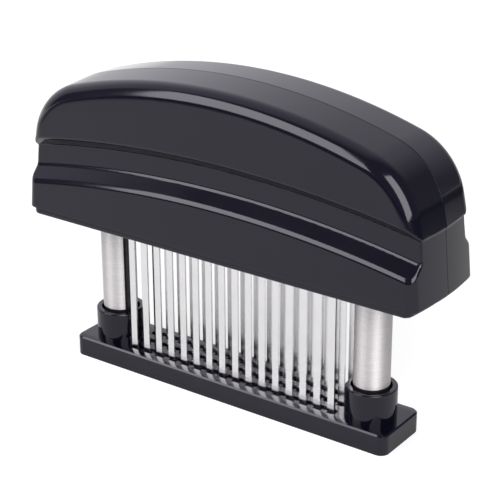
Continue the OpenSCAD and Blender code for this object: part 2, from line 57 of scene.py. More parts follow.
# ---- sizes of the handle, in millimetres -------------------------------------------------
# They are those of the CAD source, but for the lower rim and the fuller ends of the dome.
# HALF is a distance from the middle plane, R a radius, and EDGE, ROUND and FILLET are the
# radii of edges. The arched shelf and groove are turned about a centre at x = 0, z = ARCH_Z.
HANDLE_BOTTOM = 52.8
HANDLE_HALF = 77.0
SKIRT_HALF = 18.0
SKIRT_CORNER = 2.75
SKIRT_EDGE = 1.0
END_BULGE = 1.5
END_R = (SKIRT_HALF ** 2 + END_BULGE ** 2) / (2 * END_BULGE)

RIM_TOP = 54.9
RIM_STEP = 2.2
RIM_SPARE = 0.2
RIM_EDGE = 0.3
RIM_LINE = 0.09
RIM_LINE_WIDTH = 0.22

ARCH_R = 401.0
ARCH_Z = -329.1
EDGE_BEVEL = 0.6
SHELF_R = 405.0
SHELF_LIP = 0.8
SHELF_FILLET = 0.35
SHELF_EDGE = 0.75

NECK_HALF = 13.5
NECK_DRAFT = 0.3
NECK_SETBACK = 0.45
NECK_OVERLAP = 1
GROOVE_TOP_R = 412.0
GROOVE_EDGE = 0.5
GROOVE_SLOPE = 0.88

DOME_MID = 78.0
DOME_HALF = 75.0
DOME_DEPTH_HALF = 17.5
DOME_TOP = 109.28
DOME_ARC = 194.5
DOME_CORNER = 24.0
DOME_LEAN = math.radians(12)
LEAN_START = 1
DOME_ROUND = 5.0
LEAST_ROUND = 0.8
CROWN = 0.9 / DOME_DEPTH_HALF

WALL = 2.6
SKIRT_END_SPARE = 1.5
NECK_END_SPARE = 0.9
NECK_HOLLOW_RISE = 4
NECK_HOLLOW_STRAIGHT = 2
HOLLOW_CORNER = 1.2
HOLLOW_ROUND = 0.8
HOLLOW_FILLET = 0.5
INNER_EDGE = 0.3
RIB_FILLET = 0.25
FINE_EDGE = 0.2

RIB = 2.0
COLUMN_X = 51.2
BUSH_R = 8.15
BUSH_PLAY = 0.05
BUSH_PLATES = (55.95, 60.15)
BUSH_PLATE_END = 62.15
CAP_SEAT = (97.7, 98.7)
CAP_SEAT_HALF = 4.1
CAP_POCKET = (96.35, 97.7)
CAP_POCKET_R = 4.15
CAP_PIN = (96.35, 99.15)
CAP_PIN_R = 2.45
BLOCK_LEDGES = ((55.55, 17.0), (76.15, 12.0))
LEDGE_START = 9.1
LEDGE_END = 41.7
BOSS_R = 4
SCREW_PLACES = ((22.016, 92.0), (66.5, 60.0))
SCREW_SEATS = (14.5, 15.0)
SCREW_R = 1.5
SCREW_HEAD_R = 3.1
SCREW_DEPTH = 9
FAR = 9.0
TINY = 1e-9


# ---- implicit form of the handle: a distance in mm, negative inside ------------------------
def both(a, b, r):
    """Where a and b overlap, with an edge of radius r."""
    corner = np.hypot(np.maximum(r + a, 0), np.maximum(r + b, 0))
    return np.minimum(-r, np.maximum(a, b)) + corner


def either(a, b, r):
    """a and b together, with a fillet of radius r between them."""
    return -both(-a, -b, r)


def slab(v, low, high):
    """The space between two parallel planes."""
    return np.abs(v - (low + high) / 2) - (high - low) / 2


def corner_centre():
    """Centre of the round corner between the top's arc and the leaning end of the dome."""
    c, s = math.cos(DOME_LEAN), math.sin(DOME_LEAN)
    arc_z = DOME_TOP - DOME_ARC
    offset = DOME_HALF * c + (DOME_MID - LEAN_START - arc_z) * s - DOME_CORNER
    along = math.sqrt((DOME_ARC - DOME_CORNER) ** 2 - offset ** 2)
    return offset * c - along * s, arc_z + offset * s + along * c


def outline_distance(x, z):
    """Distance to the outline of the domed top in the X-Z plane: arc, round corner, leaning end."""
    ax = np.abs(x)
    cx, cz = corner_centre()
    arc = np.hypot(ax, z - DOME_TOP + DOME_ARC) - DOME_ARC
    end = (ax - DOME_HALF) * math.cos(DOME_LEAN) + (z - DOME_MID + LEAN_START) * math.sin(DOME_LEAN)
    corner = np.hypot(ax - cx, z - cz) - DOME_CORNER
    turn = np.arctan2(z - cz, ax - cx)
    steep = math.atan2(cz - DOME_TOP + DOME_ARC, cx)
    on_corner = (turn > DOME_LEAN) & (turn < steep)
    return np.where(on_corner, corner, np.maximum(arc, end))


def bulged_end(x, y, half):
    """Bulged ends, whose middles stand at x = half and x = -half."""
    return np.hypot(np.abs(x) - half + END_R, y) - END_R


def plan(x, y, z):
    """Plan of skirt and neck: flat long sides, bulged ends, rounded corners."""
    levels = (HANDLE_BOTTOM, DOME_MID, GROOVE_TOP_R + ARCH_Z + NECK_OVERLAP)
    halves = (HANDLE_HALF, DOME_HALF - NECK_SETBACK, DOME_HALF - 2 * NECK_SETBACK)
    end = bulged_end(x, y, np.interp(z, levels, halves))
    return both(end, np.abs(y) - SKIRT_HALF, SKIRT_CORNER)


def lower_rim(x, y, z):
    """Cut that sets the skirt's lower rim back at both ends, and the depth of the fine line above it."""
    end = bulged_end(x, y, HANDLE_HALF - RIM_STEP)
    inset = both(end, np.abs(y) - SKIRT_HALF - RIM_SPARE, SKIRT_CORNER)
    line = RIM_LINE * np.exp(-((z - RIM_TOP) / RIM_LINE_WIDTH) ** 2)
    return np.minimum(inset, RIM_TOP - z), line


def underside(rho, ay):
    """Slanted lower side of the dome, above the groove."""
    return (GROOVE_TOP_R + (ay - NECK_HALF) * GROOVE_SLOPE - rho) / math.hypot(1, GROOVE_SLOPE)


def dome_form(x, y, z, inset):
    """Domed top, drawn in by a distance on all sides."""
    rho = np.hypot(x, z - ARCH_Z)
    ay = np.abs(y)
    edge = max(DOME_ROUND - inset, LEAST_ROUND)
    crown = outline_distance(x, z) + CROWN * ay + inset
    form = both(crown, ay - DOME_DEPTH_HALF + inset, edge)
    return both(form, underside(rho, ay) + inset, GROOVE_EDGE)


def outside_form(x, y, z):
    """Skirt, shelf, neck and domed top, with the rounded lower edge."""
    rho = np.hypot(x, z - ARCH_Z)
    ay = np.abs(y)
    rise, run = SHELF_R - ARCH_R, SKIRT_HALF - EDGE_BEVEL - NECK_HALF
    shelf = ((rho - ARCH_R) * run + (ay - SKIRT_HALF + EDGE_BEVEL) * rise) / math.hypot(rise, run)
    neck = ay - NECK_HALF + NECK_DRAFT * (rho - SHELF_R) / (GROOVE_TOP_R - SHELF_R)
    shelf = np.maximum(shelf, rho - SHELF_R - SHELF_LIP)
    section = either(shelf, np.maximum(neck, rho - GROOVE_TOP_R - NECK_OVERLAP), SHELF_FILLET)
    lower = both(plan(x, y, z), section, SHELF_EDGE)
    cut, line = lower_rim(x, y, z)
    lower = both(lower + line, cut, RIM_EDGE)
    dome = both(dome_form(x, y, z, 0), GROOVE_TOP_R - rho, GROOVE_EDGE)
    return both(either(lower, dome, SHELF_FILLET), HANDLE_BOTTOM - z, SKIRT_EDGE)


def hollow(x, y, z):
    """Space inside the handle: in the skirt, in the neck and in the domed top."""
    ax, ay = np.abs(x), np.abs(y)
    rho = np.hypot(x, z - ARCH_Z)
    skirt_half = HANDLE_HALF - END_BULGE - WALL - SKIRT_END_SPARE
    low = both(ax - skirt_half, ay - (SKIRT_HALF - WALL), HOLLOW_CORNER)
    low = both(low, rho - (ARCH_R - WALL), HOLLOW_ROUND)
    ends = outline_distance(x, np.maximum(z, DOME_MID - NECK_HOLLOW_STRAIGHT)) + WALL + NECK_END_SPARE
    middle = both(ends, ay - (NECK_HALF - NECK_DRAFT - WALL), HOLLOW_ROUND)
    middle = both(middle, HANDLE_BOTTOM + NECK_HOLLOW_RISE - z, INNER_EDGE)
    high = dome_form(x, y, z, WALL)
    return either(low, either(middle, high, HOLLOW_FILLET), HOLLOW_FILLET)


def ribs(x, y, z):
    """Plates round the bushes, seats of the spring caps, ledges of the blade block, screw bosses."""
    ax, ay = np.abs(x), np.abs(y)
    found = np.full(np.shape(x), FAR)
    hole = BUSH_R + BUSH_PLAY - np.hypot(ax - COLUMN_X, y)
    for low in BUSH_PLATES:
        plate = np.maximum(slab(ax, COLUMN_X - BUSH_R, BUSH_PLATE_END), slab(z, low, low + RIB))
        found = np.minimum(found, np.maximum(plate, hole))
    seat = np.maximum(slab(ax, COLUMN_X - CAP_SEAT_HALF, COLUMN_X + CAP_SEAT_HALF), slab(z, *CAP_SEAT))
    found = np.minimum(found, seat)
    for low, reach in BLOCK_LEDGES:
        ledge = np.maximum(slab(ay, LEDGE_START, reach), slab(z, low, low + RIB))
        found = np.minimum(found, np.maximum(ledge, ax - LEDGE_END))
    for px, pz in SCREW_PLACES:
        found = np.minimum(found, np.hypot(ax - px, z - pz) - BOSS_R)
    return found


def holes(x, y, z, side):
    """Pockets of the spring caps, screw holes and, behind, the seats of the screws' heads."""
    ax = np.abs(x)
    r = np.hypot(ax - COLUMN_X, y)
    found = np.minimum(
        np.maximum(r - CAP_POCKET_R, slab(z, *CAP_POCKET)),
        np.maximum(r - CAP_PIN_R, slab(z, *CAP_PIN)),
    )
    for (px, pz), seat in zip(SCREW_PLACES, SCREW_SEATS):
        r = np.hypot(ax - px, z - pz)
        if side > 0:
            bore = np.minimum(r - SCREW_R, np.maximum(r - SCREW_HEAD_R, seat - y))
        else:
            bore = np.maximum(r - SCREW_R, -SCREW_DEPTH - y)
        found = np.minimum(found, bore)
    return found


def shell_form(x, y, z, side):
    """One shell of the handle, before it is cut at y = 0."""
    outside = outside_form(x, y, z)
    inside = hollow(x, y, z)
    form = both(outside, -inside, INNER_EDGE)
    form = either(form, np.maximum(ribs(x, y, z), outside + WALL / 2), RIB_FILLET)
    form = both(form, HANDLE_BOTTOM - z, FINE_EDGE)
    return both(form, -holes(x, y, z, side), FINE_EDGE)


# ---- mesh from the implicit form ---------------------------------------------------------
CORNERS = tuple((i, j, k) for i in (0, 1) for j in (0, 1) for k in (0, 1))
PULLS = 4
LEAST_SLOPE = 0.05
PULL_REACH = 0.6
CELL_SLACK = 0.35


def spaced(stops):
    """Coordinates through (stop, step) pairs: between two stops in equal steps near the first's."""
    out = []
    for (a, step), (b, _) in zip(stops, stops[1:]):
        n = max(1, round((b - a) / step))
        out.extend(a + (b - a) * i / n for i in range(n))
    out.append(stops[-1][0])
    return np.array(out)


def gradient(form, p, h=0.02):
    """Slope of the form at the points, from differences over 2 h."""
    g = np.zeros_like(p)
    for axis in range(3):
        a, b = p.copy(), p.copy()
        a[:, axis] += h
        b[:, axis] -= h
        g[:, axis] = (form(a[:, 0], a[:, 1], a[:, 2]) - form(b[:, 0], b[:, 1], b[:, 2])) / (2 * h)
    return g


def cell_corners(values):
    """Values at the eight corners of each cell of a grid, in the order of CORNERS."""
    nx, ny, nz = (n - 1 for n in values.shape)
    return [values[i:i + nx, j:j + ny, k:k + nz] for i, j, k in CORNERS]


def crossings(values):
    """Sum of the places where the form crosses a cell's edges, in cells, and their number."""
    unit = np.array(CORNERS, float)
    total = np.zeros((len(values), 3))
    hits = np.zeros(len(values))
    for a in range(8):
        for b in range(a + 1, 8):
            if np.abs(unit[a] - unit[b]).sum() != 1:
                continue
            crosses = (values[:, a] < 0) != (values[:, b] < 0)
            difference = np.where(crosses, values[:, a] - values[:, b], 1)
            t = np.where(crosses, values[:, a] / difference, 0)
            total += (unit[a] + t[:, None] * (unit[b] - unit[a])) * crosses[:, None]
            hits += crosses
    return total, hits


def pull_to_form(form, p, low, size, middle, moving):
    """Bring the moving points onto the form, each within a little more than its own cell."""
    for _ in range(PULLS):
        q = p[moving]
        g = gradient(form, q)
        g[middle[moving], 1] = 0
        value = form(q[:, 0], q[:, 1], q[:, 2])
        step = value[:, None] * g / np.maximum((g * g).sum(1), LEAST_SLOPE)[:, None]
        q = q - np.clip(step, -PULL_REACH * size[moving], PULL_REACH * size[moving])
        slack = CELL_SLACK * size[moving]
        p[moving] = np.clip(q, low[moving] - slack, low[moving] + size[moving] + slack)


def net_faces(solid, index):
    """One quad for each pair of neighbouring grid points of which only one is solid."""
    quads = []
    for axis in range(3):
        ahead = [slice(None)] * 3
        behind = [slice(None)] * 3
        ahead[axis], behind[axis] = slice(1, None), slice(None, -1)
        u, v = (axis + 1) % 3, (axis + 2) % 3
        for s in (ahead, behind):
            s[u] = s[v] = slice(1, -1)
        a, b = solid[tuple(behind)], solid[tuple(ahead)]
        for inside_first in (True, False):
            at = np.argwhere((a & ~b) if inside_first else (~a & b))
            ring = []
            for du, dv in ((0, 0), (1, 0), (1, 1), (0, 1)):
                c = at.copy()
                c[:, u] += du
                c[:, v] += dv
                ring.append(index[c[:, 0], c[:, 1], c[:, 2]])
            quads.append(np.stack(ring if inside_first else ring[::-1], 1))
    return np.concatenate(quads)


def net_of(form, xs, ys, zs, side):
    """Surface net of the form's half on one side of y = 0. ys has its middle cell round 0.

    Returns the points, the quads, which points lie at y = 0 and which lie on the form."""
    grid = np.meshgrid(xs, ys, zs, indexing="ij")
    f = form(*grid)
    solid = (f < 0) & (grid[1] * side > 0)
    count = sum(c.astype(np.int8) for c in cell_corners(solid))
    mixed = (count > 0) & (count < 8)
    index = np.full(mixed.shape, -1, int)
    index[mixed] = np.arange(mixed.sum())
    cell = np.argwhere(mixed)
    low = np.stack([xs[cell[:, 0]], ys[cell[:, 1]], zs[cell[:, 2]]], 1)
    size = np.stack([a[c + 1] - a[c] for a, c in zip((xs, ys, zs), cell.T)], 1)
    total, hits = crossings(np.stack([c[mixed] for c in cell_corners(f)], 1))
    on_form = hits > 0
    share = np.where(on_form[:, None], total / np.maximum(hits, 1)[:, None], 0.5)
    p = low + share * size
    middle = np.abs(low[:, 1] + size[:, 1] / 2) < TINY
    p[middle, 1] = 0
    pull_to_form(form, p, low, size, middle, np.flatnonzero(on_form))
    p[middle, 1] = 0
    return p, net_faces(solid, index), middle, on_form


# The steps are fine where an edge is round or narrow, and coarse along plain walls.
X_HALF = spaced(((0, 1.75), (17.5, 0.75), (26.5, 1.75), (42, 1.0), (62, 0.72), (78, 1)))
XS = np.concatenate([-X_HALF[:0:-1], X_HALF])
Y_MIDDLE = 0.12
Y_STEPS = spaced(((Y_MIDDLE, 0.28), (0.4, 0.6), (1.0, 0.8), (9, 0.72), (18.7, 1)))
ZS = spaced((
    (52.65, 0.3), (52.95, 0.55), (54.6, 0.24), (55.32, 0.6), (64, 0.5), (84, 0.72), (109.8, 1),
))
NORMAL_REACH = 0.2
PARTING_DEPTH = 0.16
PARTING_TILT = 0.8
NEAR_SKIN = 0.3


def unit_rows(rows):
    """Each row at length 1."""
    return rows / np.linalg.norm(rows, axis=1)[:, None]


def smooth_mesh(name, p, quads, point_normals, in_cut, side):
    """Mesh that is shaded by the form's own normals, and flat on the cut at y = 0."""
    mesh = bpy.data.meshes.new(name)
    mesh.from_pydata((p * MM).tolist(), [], quads.tolist())
    mesh.validate()
    corner = np.zeros(len(mesh.loops), int)
    mesh.loops.foreach_get("vertex_index", corner)
    face_of = np.repeat(np.arange(len(mesh.polygons)), [face.loop_total for face in mesh.polygons])
    cut_face = np.array([all(in_cut[v] for v in face.vertices) for face in mesh.polygons])
    loop_normals = point_normals[corner]
    loop_normals[cut_face[face_of]] = (0, -side, 0)
    mesh.polygons.foreach_set("use_smooth", np.ones(len(mesh.polygons), bool))
    mesh.normals_split_custom_set(loop_normals.tolist())
    mesh.update()
    return mesh


def shell_mesh(name, side):
    """Half of the handle on one side of y = 0, with its half of the parting groove."""
    def form(x, y, z):
        return shell_form(x, y, z, side)

    ys = (-Y_STEPS[::-1], [Y_MIDDLE]) if side < 0 else ([-Y_MIDDLE], Y_STEPS)
    p, quads, middle, on_form = net_of(form, XS, np.concatenate(ys), ZS, side)
    g = gradient(form, p, NORMAL_REACH)
    normal = g / np.maximum(np.linalg.norm(g, axis=1), TINY)[:, None]
    skin = np.abs(outside_form(p[:, 0], p[:, 1], p[:, 2])) < NEAR_SKIN
    outer = middle & on_form & skin
    p[outer] -= PARTING_DEPTH * normal[outer] * (1, 0, 1)
    normal[outer, 1] = -side * PARTING_TILT
    return smooth_mesh(name, p, quads, unit_rows(normal), middle, side)


def placed(name, data):
    """New object in the scene, with this mesh, lamp or camera."""
    obj = bpy.data.objects.new(name, data)
    bpy.context.scene.collection.objects.link(obj)
    return obj


def handle_shells(material):
    """Front and rear shell of the handle."""
    for name, side in (("handle_front", -1), ("handle_rear", 1)):
        obj = placed(name, shell_mesh(name, side))
        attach(obj, "handle")
        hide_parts(name + "_shell")
        paint(obj, material)


# ---- return springs, in millimetres ----------------------------------------------------------
SPRING_R = 2.7
WIRE_R = 0.4
WIRE_SIDES = 10
SPRING_TURNS = 20
TURN_STEPS = 36
CLOSED_TURNS = 1.5
CLOSED_PITCH = 1.12
SPRING_FOOT = 13.05
SPRING_TOP = 96.35


def spring_height(t):
    """Height of the wire's middle after t turns: closed at both ends, even pitch between them."""
    low, high = SPRING_FOOT + WIRE_R, SPRING_TOP - WIRE_R
    tight = CLOSED_TURNS * 2 * WIRE_R * CLOSED_PITCH
    if t < CLOSED_TURNS:
        return low + tight * t / CLOSED_TURNS
    if t > SPRING_TURNS - CLOSED_TURNS:
        return high - tight * (SPRING_TURNS - t) / CLOSED_TURNS
    return low + tight + (high - low - 2 * tight) * (t - CLOSED_TURNS) / (SPRING_TURNS - 2 * CLOSED_TURNS)


def spring_line():
    """Middle line of a spring's wire, round the Z axis."""
    out = []
    steps = SPRING_TURNS * TURN_STEPS
    for i in range(steps + 1):
        t = SPRING_TURNS * i / steps
        a = 2 * math.pi * t
        out.append((SPRING_R * math.cos(a), SPRING_R * math.sin(a), spring_height(t)))
    return np.array(out)


def tube_faces(rings, sides):
    """Quads between the rings of a tube, and one cap at each end."""
    faces = []
    for i in range(rings - 1):
        for k in range(sides):
            a, b = i * sides + k, i * sides + (k + 1) % sides
            faces.append((a, b, b + sides, a + sides))
    faces.append(tuple(range(sides - 1, -1, -1)))
    faces.append(tuple((rings - 1) * sides + k for k in range(sides)))
    return faces


def spring_mesh(name, x, turn):
    """Round wire swept along the spring's line, its axis at x, half a turn round it where turn is -1."""
    line = spring_line()
    ahead = unit_rows(np.gradient(line, axis=0))
    out = unit_rows(line * (1, 1, 0))
    side = np.cross(ahead, out)
    rings = []
    for k in range(WIRE_SIDES):
        a = 2 * math.pi * k / WIRE_SIDES
        rings.append(line + WIRE_R * (math.cos(a) * out + math.sin(a) * side))
    points = np.stack(rings, 1) * (turn, turn, 1) + (x, 0, 0)
    faces = tube_faces(len(line), WIRE_SIDES)
    mesh = bpy.data.meshes.new(name)
    mesh.from_pydata((points.reshape(-1, 3) * MM).tolist(), [], faces)
    mesh.polygons.foreach_set("use_smooth", [len(face) == 4 for face in faces])
    mesh.update()
    return mesh


def springs(material):
    """Left and right return spring, drawn at one length on the base; in the real tool the handle squashes
    them down to their feet.
    """
    for name, side in (("left", -1), ("right", 1)):
        obj = placed("spring_" + name, spring_mesh("spring_" + name, side * COLUMN_X, -side))
        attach(obj, "base")
        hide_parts("return_spring_" + name)
        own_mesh(obj)
        paint(obj, material)


# ---- shader nodes ------------------------------------------------------------------------
def paint(obj, material):
    """Give the object this material alone."""
    obj.data.materials.clear()
    obj.data.materials.append(material)


def new_material(name):
    """A material with its node tree and its shader."""
    material = bpy.data.materials.new(name)
    material.use_nodes = True
    tree = material.node_tree
    return material, tree, tree.nodes["Principled BSDF"]


def add(tree, kind, **settings):
    """A node with its settings."""
    node = tree.nodes.new("ShaderNode" + kind)
    for key, value in settings.items():
        setattr(node, key, value)
    return node


def feed(tree, value, socket):
    """Link a node's output to the socket, or set the socket to a plain value."""
    if isinstance(value, bpy.types.NodeSocket):
        tree.links.new(value, socket)
    else:
        socket.default_value = value


def calc(tree, operation, *values, clamp=False):
    """Math node on numbers and outputs of other nodes."""
    node = add(tree, "Math", operation=operation, use_clamp=clamp)
    for value, socket in zip(values, node.inputs):
        feed(tree, value, socket)
    return node.outputs[0]


def between(tree, kind, factor, a, b):
    """a where the factor is 0 and b where it is 1."""
    node = add(tree, "Mix", data_type=kind)
    for value, socket in ((factor, "Factor"), (a, "A"), (b, "B")):
        feed(tree, value, node.inputs[socket])
    return node.outputs["Result"]


def part_of(tree, vector, axis):
    """One coordinate of a vector."""
    node = add(tree, "SeparateXYZ")
    tree.links.new(vector, node.inputs[0])
    return node.outputs[axis]


def reach_along(tree, vector, direction):
    """How far a vector goes in a direction."""
    node = add(tree, "VectorMath", operation="DOT_PRODUCT")
    node.inputs[1].default_value = direction
    tree.links.new(vector, node.inputs[0])
    return node.outputs["Value"]


def object_place(tree, scale=(1, 1, 1)):
    """Object coordinates in metres, stretched by a scale per axis."""
    place = add(tree, "TexCoord")
    mapping = add(tree, "Mapping")
    mapping.inputs["Scale"].default_value = scale
    tree.links.new(place.outputs["Object"], mapping.inputs["Vector"])
    return mapping.outputs["Vector"]


def noise(tree, vector, scale, detail, rough):
    """Noise, most of which lies between 0.3 and 0.7."""
    node = add(tree, "TexNoise")
    node.inputs["Scale"].default_value = scale
    node.inputs["Detail"].default_value = detail
    node.inputs["Roughness"].default_value = rough
    tree.links.new(vector, node.inputs["Vector"])
    return node.outputs["Fac"]


def spread(tree, value, low, high, start=0.3, end=0.7):
    """Map a value from start..end to low..high, and hold it there."""
    node = add(tree, "MapRange")
    node.inputs["From Min"].default_value = start
    node.inputs["From Max"].default_value = end
    node.inputs["To Min"].default_value = low
    node.inputs["To Max"].default_value = high
    tree.links.new(value, node.inputs["Value"])
    return node.outputs["Result"]


def ramp(tree, value, stops):
    """Colour ramp through (position, colour) stops."""
    node = add(tree, "ValToRGB")
    bar = node.color_ramp
    while len(bar.elements) < len(stops):
        bar.elements.new(0.5)
    for element, (position, colour) in zip(bar.elements, stops):
        element.position = position
        element.color = (*colour, 1)
    tree.links.new(value, node.inputs["Fac"])
    return node.outputs["Color"]


def bumps(tree, shader, *layers):
    """Chain of bumps from (height, strength, distance in metres) layers."""
    last = None
    for height, strength, distance in layers:
        node = add(tree, "Bump")
        node.inputs["Strength"].default_value = strength
        node.inputs["Distance"].default_value = distance
        tree.links.new(height, node.inputs["Height"])
        if last:
            tree.links.new(last, node.inputs["Normal"])
        last = node.outputs["Normal"]
    tree.links.new(last, shader.inputs["Normal"])


# ---- materials: (darkest, lightest) colour and (least, most) roughness -------------------------
HANDLE_BLACK = ((0.0018, 0.0018, 0.0060), (0.0028, 0.0028, 0.0082))
BASE_BLACK = ((0.0018, 0.0019, 0.0060), (0.0028, 0.0029, 0.0082))
CORE_BLACK = ((0.006, 0.006, 0.008), (0.011, 0.011, 0.013))
SLEEVE_STEEL = ((0.60, 0.58, 0.583), (0.78, 0.755, 0.76))
BLADE_STEEL = ((0.92, 0.91, 0.93), (0.97, 0.96, 0.975))
WIRE_STEEL = ((0.45, 0.45, 0.46), (0.62, 0.61, 0.60))
ZINC = ((0.44, 0.46, 0.50), (0.66, 0.67, 0.70))
PLASTIC_IOR = 1.5
PLASTIC_TINT = (0.955, 0.925, 1, 1)
HAIRLINE_SHARE = 0.35
GRAIN_SHARE = 0.6
BRUSHING = 0.64
QUARTER_TURN = 0.25
CRYSTAL_SCALE = 1500
DECK_LAND = 0.0078
DECK_FALL = -26
DECK_LEVEL = 0.9


def moulded_plastic(name, colours, roughness, ripple, crown=None):
    """Black moulded plastic: polished skin with slow ripples, fine dust and faint hairlines."""
    material, tree, shader = new_material(name)
    vector = object_place(tree)
    cloud = noise(tree, vector, scale=34, detail=3, rough=0.55)
    speck = noise(tree, vector, scale=2600, detail=2, rough=0.6)
    hair = noise(tree, object_place(tree, (30, 260, 420)), scale=6, detail=3, rough=0.6)
    dark, light = colours
    tree.links.new(ramp(tree, cloud, ((0.3, dark), (0.7, light))), shader.inputs["Base Color"])
    wear = calc(tree, "MULTIPLY_ADD", hair, HAIRLINE_SHARE, cloud)
    tree.links.new(spread(tree, wear, *roughness, start=0.45, end=0.95), shader.inputs["Roughness"])
    shader.inputs["IOR"].default_value = PLASTIC_IOR
    shader.inputs["Specular Tint"].default_value = PLASTIC_TINT
    layers = [(cloud, 0.10, ripple), (speck, 0.05, 0.00002)]
    if crown:
        layers.append((crown(tree), 1.0, 1.0))
    bumps(tree, shader, *layers)
    return material


def crowned_deck(tree):
    """Height by which the base's deck falls off towards its long edges, beside the blade slots."""
    place = add(tree, "TexCoord").outputs["Object"]
    across = calc(tree, "ABSOLUTE", part_of(tree, place, "Y"))
    beyond = calc(tree, "SUBTRACT", across, DECK_LAND, clamp=True)
    fall = calc(tree, "MULTIPLY", calc(tree, "MULTIPLY", beyond, beyond), DECK_FALL)
    facing_up = part_of(tree, add(tree, "NewGeometry").outputs["Normal"], "Z")
    level = calc(tree, "GREATER_THAN", facing_up, DECK_LEVEL)
    return calc(tree, "MULTIPLY", fall, level)


def brushed_sleeve(name):
    """Steel tube brushed round its axis: long soft highlights along it and a fine grain."""
    material, tree, shader = new_material(name)
    lines = noise(tree, object_place(tree, (40, 40, 2400)), scale=3, detail=4, rough=0.65)
    grain = noise(tree, object_place(tree), scale=1900, detail=3, rough=0.7)
    tone = calc(tree, "MULTIPLY_ADD", grain, GRAIN_SHARE, lines)
    dark, light = SLEEVE_STEEL
    tree.links.new(ramp(tree, tone, ((0.55, dark), (1.05, light))), shader.inputs["Base Color"])
    shader.inputs["Metallic"].default_value = 1
    shader.inputs["Anisotropic"].default_value = BRUSHING
    shader.inputs["Anisotropic Rotation"].default_value = QUARTER_TURN
    tangent = add(tree, "Tangent", direction_type="RADIAL", axis="Z")
    tree.links.new(tangent.outputs["Tangent"], shader.inputs["Tangent"])
    tree.links.new(spread(tree, lines, 0.54, 0.64), shader.inputs["Roughness"])
    bumps(tree, shader, (lines, 0.10, 0.00004), (grain, 0.08, 0.00003))
    return material


def ground_steel(name, colours, roughness, stretch):
    """Bright sheet or wire with grinding lines along the given stretch."""
    material, tree, shader = new_material(name)
    lines = noise(tree, object_place(tree, stretch), scale=4, detail=4, rough=0.6)
    patch = noise(tree, object_place(tree), scale=160, detail=3, rough=0.5)
    dark, light = colours
    tree.links.new(ramp(tree, patch, ((0.3, dark), (0.7, light))), shader.inputs["Base Color"])
    shader.inputs["Metallic"].default_value = 1
    tree.links.new(spread(tree, lines, *roughness), shader.inputs["Roughness"])
    bumps(tree, shader, (lines, 0.1, 0.00003), (patch, 0.06, 0.00006))
    return material


def zinc_plate(name):
    """Zinc-plated screws: bluish grey with small crystals."""
    material, tree, shader = new_material(name)
    vector = object_place(tree)
    cells = add(tree, "TexVoronoi")
    cells.inputs["Scale"].default_value = CRYSTAL_SCALE
    tree.links.new(vector, cells.inputs["Vector"])
    crystal = cells.outputs["Distance"]
    cloud = noise(tree, vector, scale=400, detail=3, rough=0.6)
    dark, light = ZINC
    tree.links.new(ramp(tree, cloud, ((0.3, dark), (0.7, light))), shader.inputs["Base Color"])
    shader.inputs["Metallic"].default_value = 1
    tree.links.new(spread(tree, crystal, 0.28, 0.45, start=0, end=1), shader.inputs["Roughness"])
    bumps(tree, shader, (crystal, 0.1, 0.00004))
    return material


def piece_materials():
    """Name of each slot to its material."""
    along_z, along_x = (500, 500, 12), (20, 900, 900)
    return {
        "handle_gloss": moulded_plastic("handle_gloss", HANDLE_BLACK, (0.08, 0.14), 0.0003),
        "base_plastic": moulded_plastic("base_plastic", BASE_BLACK, (0.06, 0.13), 0.0002, crowned_deck),
        "core_plastic": moulded_plastic("core_plastic", CORE_BLACK, (0.22, 0.36), 0.0001),
        "brushed_sleeve": brushed_sleeve("brushed_sleeve"),
        "blade_steel": ground_steel("blade_steel", BLADE_STEEL, (0.10, 0.20), along_z),
        "spring_steel": ground_steel("spring_steel", WIRE_STEEL, (0.2, 0.34), along_x),
        "screw_zinc": zinc_plate("screw_zinc"),
    }


SLOT_STARTS = (
    ("base_plate", "base_plastic"),
    ("column_sleeve", "brushed_sleeve"),
    ("blade_comb", "blade_steel"),
    ("return_spring", "spring_steel"),
    ("stop_ring", "spring_steel"),
    ("base_screws", "screw_zinc"),
    ("blade_bolts", "screw_zinc"),
    ("blade_nuts", "screw_zinc"),
    ("handle_screws", "screw_zinc"),
    ("handle_", "handle_gloss"),
)


def slot_of(name):
    """Slot of a CAD node, by the start of its name."""
    for start, slot in SLOT_STARTS:
        if name.startswith(start):
            return slot
    return "core_plastic"


# ---- camera, light, floor ------------------------------------------------------------------
PHOTO_SIDE = 500
FOCAL_PIXELS = 1590.09
SENSOR_MM = 36
CAMERA_ANGLES = (35.509, 23.202, -0.197)
CAMERA_PLACE = (278.113, -383.786, 254.008)
CLIP_START, CLIP_END = 0.01, 20

# name, azimuth, elevation, (width, height) in metres, turn, power in watts
LAMPS = (
    ("soft_left", -31, 28, (0.68, 0.82), -16, 7.9),
    ("soft_right", 54, 24, (0.74, 1.10), -23, 12.4),
)
LAMP_DISTANCE = 1.1
LAMP_TARGET = (0, 0, 0.09)

BACKDROP_AXIS = (-0.797, 0.498, 0.342)
BACKDROP_STOPS = ((0.14, 0.15), (0.50, 0.54), (0.80, 0.63), (0.90, 0.76), (0.96, 0.86))
BACKDROP_LEVEL = 1.25
BACKDROP_TINT = (0.985, 0.955, 1.04, 1)
BEHIND_CAMERA = 0.18
ROOM_LEVEL = 0.5
WHITE = (1, 1, 1, 1)

FLOOR_HALF = 3
# The floor's own grey, and the painted shade it takes in mirrors far out on the side away from
# FLOOR_LIT_WAY.
FLOOR_AND_PAINTED_SHADE_TONES = ((0, (0.52, 0.52, 0.52)), (1, (0.02, 0.02, 0.02)))
FLOOR_LIT_WAY = (-0.78, 0.62, 0)


def away(azimuth, elevation):
    """Direction at these angles, given in radians: azimuth 0 is the front, -Y."""
    return Vector((
        math.sin(azimuth) * math.cos(elevation),
        -math.cos(azimuth) * math.cos(elevation),
        math.sin(elevation),
    ))


